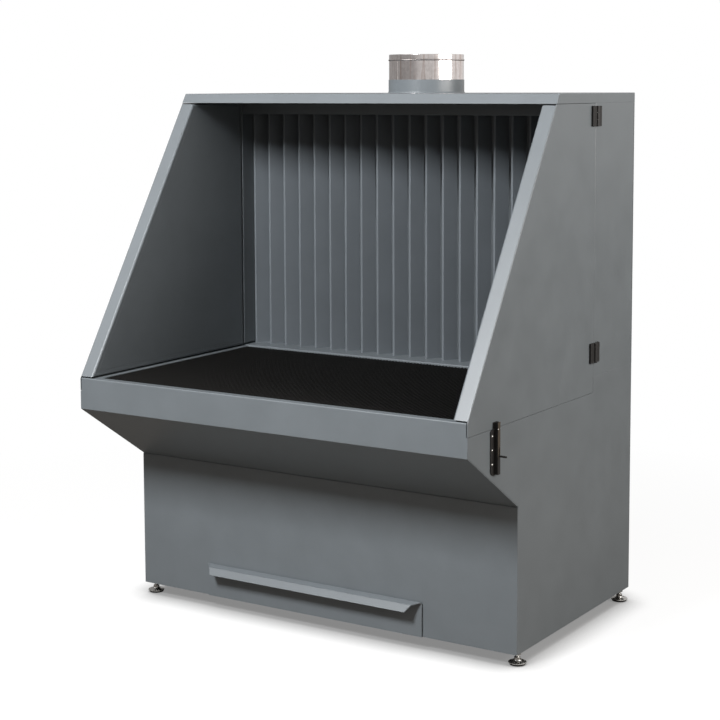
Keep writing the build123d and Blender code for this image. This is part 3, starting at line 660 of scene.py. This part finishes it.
def studio():
    """Studio around the table: dim to light the object, white to the eye, bright at the right."""
    world = bpy.data.worlds.new("studio")
    world.use_nodes = True
    tree = world.node_tree
    tree.nodes.clear()
    path = add_node(tree, "ShaderNodeLightPath").outputs
    seen = add_node(
        tree, "ShaderNodeMath", {"operation": "MAXIMUM"},
        {0: path["Is Camera Ray"], 1: path["Is Transmission Ray"]},
    )
    way = add_node(tree, "ShaderNodeTexCoord").outputs["Generated"]
    shown = add_node(tree, "ShaderNodeValue")
    shown.outputs[0].default_value = DIM_WALLS
    for towards, edge, core, strength in REFLECTORS:
        aligned = add_node(
            tree, "ShaderNodeVectorMath", {"operation": "DOT_PRODUCT", 1: towards}, {0: way},
        )
        reflector = add_node(
            tree, "ShaderNodeMapRange", {"From Min": edge, "From Max": core, "To Max": strength},
            {"Value": aligned.outputs["Value"]},
        )
        shown = add_node(
            tree, "ShaderNodeMath", {"operation": "ADD"},
            {0: shown.outputs[0], 1: reflector.outputs["Result"]},
        )
    ambient = add_node(
        tree, "ShaderNodeBackground", {"Color": (1.0, 0.9, 0.81, 1), "Strength": 0.2}
    )
    glossy = add_node(
        tree, "ShaderNodeBackground", {"Color": (1.0, 0.98, 0.97, 1)},
        {"Strength": shown.outputs[0]},
    )
    white = add_node(tree, "ShaderNodeBackground", {"Color": (1, 1, 1, 1), "Strength": 1.0})
    rays = add_node(
        tree, "ShaderNodeMixShader", {},
        {0: path["Is Glossy Ray"], 1: ambient.outputs[0], 2: glossy.outputs[0]},
    )
    both = add_node(
        tree, "ShaderNodeMixShader", {},
        {0: seen.outputs[0], 1: rays.outputs[0], 2: white.outputs[0]},
    )
    add_node(tree, "ShaderNodeOutputWorld", {}, {"Surface": both.outputs[0]})
    return world


LAMPS = (
    # name, place, aim, width, height, power, colour
    ("key", (-0.27, -3.1, 3.25), (0.1, -0.2, 0.8), 0.9, 0.9, 210, (0.975, 0.985, 1)),
    ("right", (3.3, 0.35, 1.85), (0.645, 0.1, 0.95), 2.3, 1.1, 84, (1.0, 0.96, 0.92)),
)


class DOWNDRAFT_OT_stage(bpy.types.Operator):
    """Pale floor, soft lights and the camera at the photograph's angle"""

    bl_idname = "downdraft.stage"
    bl_label = "Stage"

    def execute(self, context):
        scene = context.scene
        scene.view_settings.view_transform = "Standard"
        scene.world = studio()
        # The place, turn and lens that fit the corners of the table in the photograph
        bpy.ops.object.camera_add(
            location=(2.6677, -4.1578, 1.5616), rotation=(1.467709, 0.003956, 0.569904)
        )
        scene.camera = context.object
        lens = scene.camera.data
        lens.lens, lens.shift_y, lens.clip_end = 84.32, -0.1389, 200
        bpy.ops.object.select_all(action="DESELECT")
        bpy.ops.mesh.primitive_plane_add(size=80)
        floor = context.object
        floor.name = "floor"
        coat(floor, seamless_paper())
        for name, place, aim, width, height, power, colour in LAMPS:
            bpy.ops.object.light_add(type="AREA", location=place)
            holder = context.object
            holder.name = name
            way = Vector(aim) - Vector(place)
            holder.rotation_euler = way.to_track_quat("-Z", "Y").to_euler()
            holder.data.shape = "RECTANGLE"
            holder.data.size, holder.data.size_y = width, height
            holder.data.energy, holder.data.color = power, colour
        return {"FINISHED"}


# The pieces

class DOWNDRAFT_OT_inside(bpy.types.Operator):
    """Coat every part of the frame, for those inside that no dressed piece replaces"""

    bl_idname = "downdraft.inside"
    bl_label = "Inside of the cabinet"

    def execute(self, context):
        for node, slot in SLOT_OF.items():
            coat(frame["nodes"][node], finish_for(slot))
        return {"FINISHED"}


SHEETS = (
    "apron", "cabinet_back", "cabinet_side_left", "cabinet_side_right", "front_panel",
    "grating_rail_left", "grating_rail_right", "header", "housing_back", "housing_side_left",
    "housing_side_right", "roof", "sill",
)


class DOWNDRAFT_OT_cabinet(bpy.types.Operator):
    """Folded sheets of the cabinet and the rear housing, their cut edges broken"""

    bl_idname = "downdraft.cabinet"
    bl_label = "Cabinet and housing"

    def execute(self, context):
        width = context.scene.downdraft_sizes.cut_softness
        for node in SHEETS:
            put(soften(copied(node), width), node + "_sheet", node)
        return {"FINISHED"}


class DOWNDRAFT_OT_swing_sides(bpy.types.Operator):
    """Swing-out sides: folded shell, liner let into it and rubber seal"""

    bl_idname = "downdraft.swing_sides"
    bl_label = "Swing-out sides"

    def execute(self, context):
        width = context.scene.downdraft_sizes.cut_softness
        for side in SIDES:
            for part in ("panel_shell_", "panel_liner_", "panel_seal_"):
                put(soften(copied(part + side), width), part + side + "_sheet", part + side)
        return {"FINISHED"}


class DOWNDRAFT_OT_drawer(bpy.types.Operator):
    """Dust drawer: folded front with its grip, and the tray"""

    bl_idname = "downdraft.drawer"
    bl_label = "Dust drawer"

    def execute(self, context):
        width = context.scene.downdraft_sizes.cut_softness
        front = soften(copied("drawer_front"), width / 2, clamp=True)
        put(front, "drawer_front_sheet", "drawer_front")
        put(soften(copied("drawer_tray"), width), "drawer_tray_sheet", "drawer_tray")
        return {"FINISHED"}


def grating_rows(sizes, node="grating_right"):
    """Box of a grating, its bars' thickness and step, and how many steps there are."""
    low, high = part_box(node)
    run = high.y - low.y - sizes.bar_thickness
    steps = math.floor(run / sizes.bar_pitch + SPARE)
    return low, high, sizes.bar_thickness, run / steps, steps


class DOWNDRAFT_OT_gratings(bpy.types.Operator):
    """Two lift-out gratings: bars on edge, wires laid across them and a weld at each crossing"""

    bl_idname = "downdraft.gratings"
    bl_label = "Gratings"

    def execute(self, context):
        sizes = context.scene.downdraft_sizes
        wire, pitch, broken = sizes.wire_width, sizes.wire_pitch, 0.3 * MM
        for side in SIDES:
            node = "grating_" + side
            low, high, bar, step, steps = grating_rows(sizes, node)
            shelf = high.z - sizes.wire_height
            count = math.floor((high.x - low.x - wire) / pitch + SPARE) + 1
            first = (low.x + high.x - (count - 1) * pitch) / 2
            across = soften(block(low, (high.x, low.y + bar, shelf)), broken, 1)
            ends = [
                soften(block((x, low.y, low.z), (x + bar, high.y, shelf)), broken, 1)
                for x in (low.x, high.x - bar)
            ]
            rod = block((first - wire / 2, low.y, shelf), (first + wire / 2, high.y, high.z))
            with editing(rod, "edges", lambda edge: along(edge, 1) and middle(edge).z > shelf + MM):
                bpy.ops.mesh.bevel(offset=0.9 * MM, segments=3, affect="EDGES")
            rod = soften(rod, broken, 1)
            # A weld is a flat bead pressed out on both sides of the wire and cut off under it
            bpy.ops.object.select_all(action="DESELECT")
            bpy.ops.mesh.primitive_ico_sphere_add(
                subdivisions=1, radius=MM, location=(first, low.y + bar / 2, shelf),
                scale=(2.9, 2.3, 1.3),
            )
            weld = settle(context.object)
            with editing(weld):
                bpy.ops.mesh.bisect(
                    plane_co=(first, low.y, shelf - 0.7 * MM), plane_no=(0, 0, 1),
                    clear_inner=True, use_fill=True,
                )
            bpy.ops.object.shade_smooth_by_angle(angle=math.radians(60))
            weld = repeated(repeated(weld, count, (pitch, 0, 0)), steps + 1, (0, step, 0))
            put(
                joined([
                    *ends, weld, repeated(rod, count, (pitch, 0, 0)),
                    repeated(across, steps + 1, (0, step, 0)),
                ]),
                node + "_welded", node,
            )
        return {"FINISHED"}


# Section of a lamella as (across, back) in millimetres: slanted face, flat front, lip at the left
SLAT = ((32, 40), (7, 0), (0, 0), (0, 8))


class DOWNDRAFT_OT_suction_wall(bpy.types.Operator):
    """Upright slats folded from thin sheet, side by side with an open slot at each"""

    bl_idname = "downdraft.suction_wall"
    bl_label = "Suction wall"

    def execute(self, context):
        sizes = context.scene.downdraft_sizes
        low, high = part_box("lamellae")
        corners = [Vector((*corner, 0)) * MM for corner in SLAT]
        slat = drawn([low + corner for corner in corners])
        for before, corner, after in zip(corners, corners[1:], corners[2:]):
            setback = sizes.slat_bend / math.tan((before - corner).angle(after - corner) / 2)
            with editing(slat, "verts", lambda vert: (vert.co - low - corner).length < 0.1 * MM):
                bpy.ops.mesh.bevel(offset=setback, segments=5, affect="VERTICES")
        with editing(slat):
            bpy.ops.mesh.extrude_region_move(
                TRANSFORM_OT_translate={"value": (0, 0, high.z - low.z)}
            )
        # The sheet thickens backwards, so its faces have to look to the front
        flat = next(face for face in slat.data.polygons if abs(face.normal.y) > 0.99)
        if flat.normal.y > 0:
            with editing(slat):
                bpy.ops.mesh.flip_normals()
        modify(slat, "SOLIDIFY", thickness=sizes.slat_sheet, offset=-1, use_even_offset=True)
        count = round((high.x - low.x - SLAT[0][0] * MM) / sizes.slat_pitch) + 1
        bpy.ops.object.shade_smooth_by_angle(angle=CREASE)
        modify(slat, "WEIGHTED_NORMAL", keep_sharp=True)
        slats = repeated(slat, count, (sizes.slat_pitch, 0, 0))
        put(slats, "suction_wall_slats", "lamellae")
        return {"FINISHED"}


LAP = (-122, -110)  # degrees round the duct between which its sleeve's seam lies


class DOWNDRAFT_OT_duct(bpy.types.Operator):
    """Duct spigot: painted collar with its weld on the roof, and the bright sleeve in it"""

    bl_idname = "downdraft.duct"
    bl_label = "Duct spigot"

    def execute(self, context):
        rise = context.scene.downdraft_sizes.bead_rise / MM
        wall, bead_drop, weld_steps = 1.5, 17, 180
        low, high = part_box("duct_collar")
        centre = Vector(((low.x + high.x) / 2, (low.y + high.y) / 2, low.z))
        radius, top = (high.x - low.x) / 2 / MM, (high.z - low.z) / MM
        collar = turned(
            [(radius - wall, 0), (radius, 0), (radius, top - 0.7), (radius - 0.3, top - 0.2),
             (radius - 0.8, top), (radius - 1.2, top - 0.2), (radius - wall, top - 0.7),
             (radius - wall, 0)],
            centre, 96,
        )
        bead = turned(
            [(radius - 0.2, 0), (radius + 2.4, 0), (radius + 2.1, 0.9), (radius + 1.2, 1.9),
             (radius + 0.4, 4.6), (radius - 0.2, 4.8), (radius - 0.2, 0)],
            centre, weld_steps,
        )

        def between_ripples(vert):
            """Whether a corner of the weld lies between two of its ripples, 8 mm apart."""
            turn = math.atan2(vert.co.y - centre.y, vert.co.x - centre.x) / (2 * math.pi)
            away = (vert.co - centre).to_2d().length
            return round(turn * weld_steps) % 2 and away > (radius + 0.2) * MM

        with editing(bead, "verts", between_ripples):
            bpy.ops.transform.resize(value=(0.994, 0.994, 0.9), center_override=centre)
        collar = modify(joined([bead, collar]), "WEIGHTED_NORMAL", keep_sharp=True)
        put(collar, "duct_collar_welded", "duct_collar")

        low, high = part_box("duct_sleeve")
        outer = (high.x - low.x) / 2 / MM - rise
        inner, foot, rim = outer - wall, (low.z - centre.z) / MM, (high.z - centre.z) / MM
        bead_height = rim - bead_drop
        # The bead swells out and back in eight steps, down the outside and up the inside
        swell = [math.sin(math.pi * step / 8) for step in range(9)]
        profile = [(inner, foot)]
        profile += [
            (inner + rise * 0.8 * out, bead_height - rise + 2 * rise * step / 8)
            for step, out in enumerate(swell)
        ]
        profile += [(inner, rim - 1.2), (inner + 0.3, rim - 0.3), (inner + 0.75, rim),
                    (outer - 0.3, rim - 0.3), (outer, rim - 1.2)]
        profile += [
            (outer + rise * out, bead_height + rise - 2 * rise * step / 8)
            for step, out in enumerate(swell)
        ]
        profile += [(outer, foot), (inner, foot)]
        sleeve = turned(profile, centre, 96)

        def in_lap(face):
            """Whether a face lies on the sleeve's lap seam, at its front left, below the bead."""
            away = middle(face) - centre
            turn = math.degrees(math.atan2(away.y, away.x))
            return (
                LAP[0] < turn < LAP[1] and away.to_2d().length > (outer - 0.4) * MM
                and away.z < (bead_height - rise) * MM and face.normal.z < 0.5
            )

        with editing(sleeve, "faces", in_lap):
            bpy.ops.mesh.inset(thickness=0.3 * MM, depth=0.8 * MM)
        only(sleeve)
        bpy.ops.object.shade_smooth_by_angle(angle=CREASE)
        put(modify(sleeve, "WEIGHTED_NORMAL", keep_sharp=True), "duct_sleeve_beaded", "duct_sleeve")
        return {"FINISHED"}


class DOWNDRAFT_OT_hinges(bpy.types.Operator):
    """Cast hinges: two leaves with rounded corners, three knuckles and a pin each"""

    bl_idname = "downdraft.hinges"
    bl_label = "Hinges"

    def execute(self, context):
        sizes = context.scene.downdraft_sizes
        tall = sizes.hinge_length
        low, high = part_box("hinge_leaf_fixed_right")
        radius = (high.x - low.x) / 2
        axis = Vector((low.x + radius, low.y + radius, high.z - tall / 2))
        reach = high.y - axis.y
        drop = Vector((0, 0, -(high.z - low.z - tall)))
        knuckle = tall / 6  # half the height of one of the three
        clear, play = 0.6 * MM, 0.15 * MM  # from barrel to leaf, and at each knuckle's ends
        for kind, way, middles in (("fixed", 1, (-2 * knuckle, 2 * knuckle)), ("swing", -1, (0,))):
            near, far = axis.y + way * (radius + clear), axis.y + way * reach
            leaf = block(
                (low.x, min(near, far), axis.z - tall / 2),
                (low.x + radius, max(near, far), axis.z + tall / 2),
            )
            with editing(
                leaf, "edges", lambda edge: along(edge, 0) and abs(middle(edge).y - far) < MM
            ):
                bpy.ops.mesh.bevel(offset=sizes.hinge_corner, segments=6, affect="EDGES")
            with editing(leaf, "faces", lambda face: face.normal.x > 0.9):
                bpy.ops.mesh.inset(thickness=1.5 * MM, depth=0)
                bpy.ops.mesh.inset(thickness=0.5 * MM, depth=-0.5 * MM)
            parts = [leaf]
            for lift in middles:
                half = knuckle - play
                root, tip = sorted((axis.y, near + way * 1.5 * MM))
                bpy.ops.object.select_all(action="DESELECT")
                bpy.ops.mesh.primitive_cylinder_add(
                    vertices=36, radius=radius, depth=2 * half, location=axis + Vector((0, 0, lift))
                )
                parts.append(settle(context.object))
                # The web that joins the knuckle to its leaf
                parts.append(block(
                    (low.x, root, axis.z + lift - half),
                    (axis.x - 0.4 * MM, tip, axis.z + lift + half),
                ))
            right = joined(parts)
            right = joined([right, shifted(right, drop)])
            for side, piece in (("left", mirrored(right)), ("right", right)):
                node = f"hinge_leaf_{kind}_{side}"
                put(soften(piece, sizes.fitting_softness, clamp=True), node + "_cast", node)
        half = tall / 2 / MM
        pin = turned(
            [(0, -half), (2.2, -half), (2.8, -half + 0.4), (2.95, -half + 1), (2.95, half - 1),
             (2.8, half - 0.4), (2.2, half), (0, half)],
            axis, 24,
        )
        pins = joined([pin, shifted(pin, drop)])
        put(joined([pins, mirrored(pins)]), "hinge_pins_turned", "hinge_pins")
        return {"FINISHED"}


class DOWNDRAFT_OT_bolts(bpy.types.Operator):
    """Tower bolts: guide plate, keeper, sliding rod with its handle, and six screws each"""

    bl_idname = "downdraft.bolts"
    bl_label = "Tower bolts"

    def execute(self, context):
        sizes = context.scene.downdraft_sizes
        plate_low, plate_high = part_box("bolt_plate_right")
        bare_faced = black_dip(
            "rubbed_dip", context.scene.downdraft_colours, bare_beyond=plate_high.x - 0.3 * MM
        )

        def at_shoulder(edge):
            """Whether an edge is one of the two upper corners of a plate."""
            there = middle(edge)
            return (
                along(edge, 0) and abs(there.z - plate_high.z) < MM
                and min(abs(there.y - y) for y in (plate_low.y, plate_high.y)) < MM
            )

        for side in SIDES:
            plate = copied("bolt_plate_" + side)
            with editing(plate, "edges", at_shoulder):
                bpy.ops.mesh.bevel(offset=sizes.plate_shoulder, segments=6, affect="EDGES")
            keeper = copied("bolt_keeper_" + side)
            for node, piece in (("bolt_plate_" + side, plate), ("bolt_keeper_" + side, keeper)):
                piece = soften(piece, sizes.fitting_softness)
                put(piece, node + "_pressed", node, finish=bare_faced)

        low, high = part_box("bolt_rod_right")
        centre = Vector(((low.x + high.x) / 2, (low.y + high.y) / 2, low.z))
        top = (high.z - low.z) / MM
        rod = turned(
            [(0, 0), (3.4, 0), (4, 0.6), (4, top - 0.9), (3.7, top - 0.3), (3.0, top), (0, top)],
            centre, 32,
        )
        low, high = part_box("bolt_handle_right")
        end = (high.x - low.x) / MM
        handle = turned(
            [(0, -3), (2.7, -3), (2.7, end - 5.5), (2.3, end - 4.8), (2.75, end - 4),
             (2.75, end - 1.8), (2.4, end - 0.8), (1.6, end - 0.2), (0, end)],
            Vector((low.x, (low.y + high.y) / 2, (low.z + high.z) / 2)), 32, upright=False,
        )
        for part, right in (("rod", rod), ("handle", handle)):
            for side, piece in (("left", mirrored(right)), ("right", right)):
                node = f"bolt_{part}_{side}"
                put(piece, node + "_turned", node)

        low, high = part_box("bolt_screws")
        head = 3.5 * MM
        seat = high.x - 2 * MM
        screw = turned(
            [(0, 2.0), (1.0, 1.96), (1.9, 1.75), (2.7, 1.35), (3.25, 0.8), (3.5, 0.2), (3.5, 0),
             (2.0, 0), (2.0, -2.4), (0, -2.4)],
            Vector((seat, high.y - head, high.z - head)), 24, upright=False,
        )
        with editing(screw, "faces", lambda face: face.normal.x > 0.9 and len(face.verts) == 3):
            bpy.ops.mesh.inset(thickness=0.1 * MM, depth=-0.9 * MM)
        pair = [screw, shifted(screw, (0, -(high.y - low.y - 2 * head), 0))]
        row = repeated(joined(pair), 3, (0, 0, -(high.z - low.z - 2 * head) / 2))
        only(row)
        bpy.ops.object.shade_smooth_by_angle(angle=CREASE)
        put(joined([row, mirrored(row)]), "bolt_screws_domed", "bolt_screws")
        return {"FINISHED"}


class DOWNDRAFT_OT_feet(bpy.types.Operator):
    """Levelling feet: dished disc, neck and threaded stem, rubber pad under it and lock nut"""

    bl_idname = "downdraft.feet"
    bl_label = "Levelling feet"

    def execute(self, context):
        pitch = context.scene.downdraft_sizes.thread_pitch / MM
        low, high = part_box("foot_front_right")
        centre = Vector(((low.x + high.x) / 2, (low.y + high.y) / 2, 0))
        top = high.z / MM
        root, crest = 5.2, 5.95
        # The thread, ring by ring from just above the neck
        thread, height = [], 21.4
        while height + pitch < top - 1:
            thread += [(root, height), (crest, height + pitch / 2)]
            height += pitch
        disc = turned(
            [(0, 5.5), (23.2, 5.5), (24.5, 5.8), (25, 6.6), (24.7, 7.6), (23.6, 8.2), (16, 9.4),
             (11.5, 11.2), (9.8, 12.6), (9.1, 14.2), (9, 15), (9, 20.2), (8.3, 21), (root, 21),
             *thread, (root, height), (4.6, top), (0, top)],
            centre, 48,
        )
        pad = turned(
            [(0, 0), (19.8, 0), (21.2, 0.4), (21.9, 1.4), (22, 3.4), (21.6, 3.8), (21.6, 4.3),
             (22, 4.7), (22, 6), (0, 6)],
            centre, 48,
        )
        nuts = soften(copied("lock_nuts"), context.scene.downdraft_sizes.fitting_softness)
        put(nuts, "lock_nuts_chamfered", "lock_nuts")
        for corner in CORNERS:
            there = sum(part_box("foot_" + corner), Vector()) / 2
            move = Vector((there.x - centre.x, there.y - centre.y, 0))
            for kind, model, name in (("foot_", disc, "_turned"), ("foot_pad_", pad, "_moulded")):
                piece = model if move.length < MM else shifted(model, move)
                put(piece, kind + corner + name, kind + corner)
        return {"FINISHED"}


OPERATORS = (
    DOWNDRAFT_OT_stage,
    DOWNDRAFT_OT_inside,
    DOWNDRAFT_OT_cabinet,
    DOWNDRAFT_OT_swing_sides,
    DOWNDRAFT_OT_drawer,
    DOWNDRAFT_OT_gratings,
    DOWNDRAFT_OT_suction_wall,
    DOWNDRAFT_OT_duct,
    DOWNDRAFT_OT_hinges,
    DOWNDRAFT_OT_bolts,
    DOWNDRAFT_OT_feet,
)


class DOWNDRAFT_PT_panel(bpy.types.Panel):
    """The pieces of the table, in the order in which they are made"""

    bl_label = "Downdraft Table"
    bl_idname = "DOWNDRAFT_PT_panel"
    bl_space_type = "VIEW_3D"
    bl_region_type = "UI"
    bl_category = "Downdraft Table"

    def draw(self, context):
        layout = self.layout
        for group in (context.scene.downdraft_sizes, context.scene.downdraft_colours):
            for key in type(group).__annotations__:
                layout.prop(group, key)
        for operator in OPERATORS:
            layout.operator(operator.bl_idname)


CLASSES = (DowndraftSizes, DowndraftColours, *OPERATORS, DOWNDRAFT_PT_panel)


def register():
    """Add the classes and the scene's two groups of values."""
    for kind in CLASSES:
        bpy.utils.register_class(kind)
    bpy.types.Scene.downdraft_sizes = bpy.props.PointerProperty(type=DowndraftSizes)
    bpy.types.Scene.downdraft_colours = bpy.props.PointerProperty(type=DowndraftColours)


def unregister():
    """Take them away again."""
    del bpy.types.Scene.downdraft_colours
    del bpy.types.Scene.downdraft_sizes
    for kind in reversed(CLASSES):
        bpy.utils.unregister_class(kind)


def main():
    """Make everything in order."""
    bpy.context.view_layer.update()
    register()
    for operator in OPERATORS:
        group, name = operator.bl_idname.split(".")
        getattr(getattr(bpy.ops, group), name)()


if __name__ == "__main__":
    main()
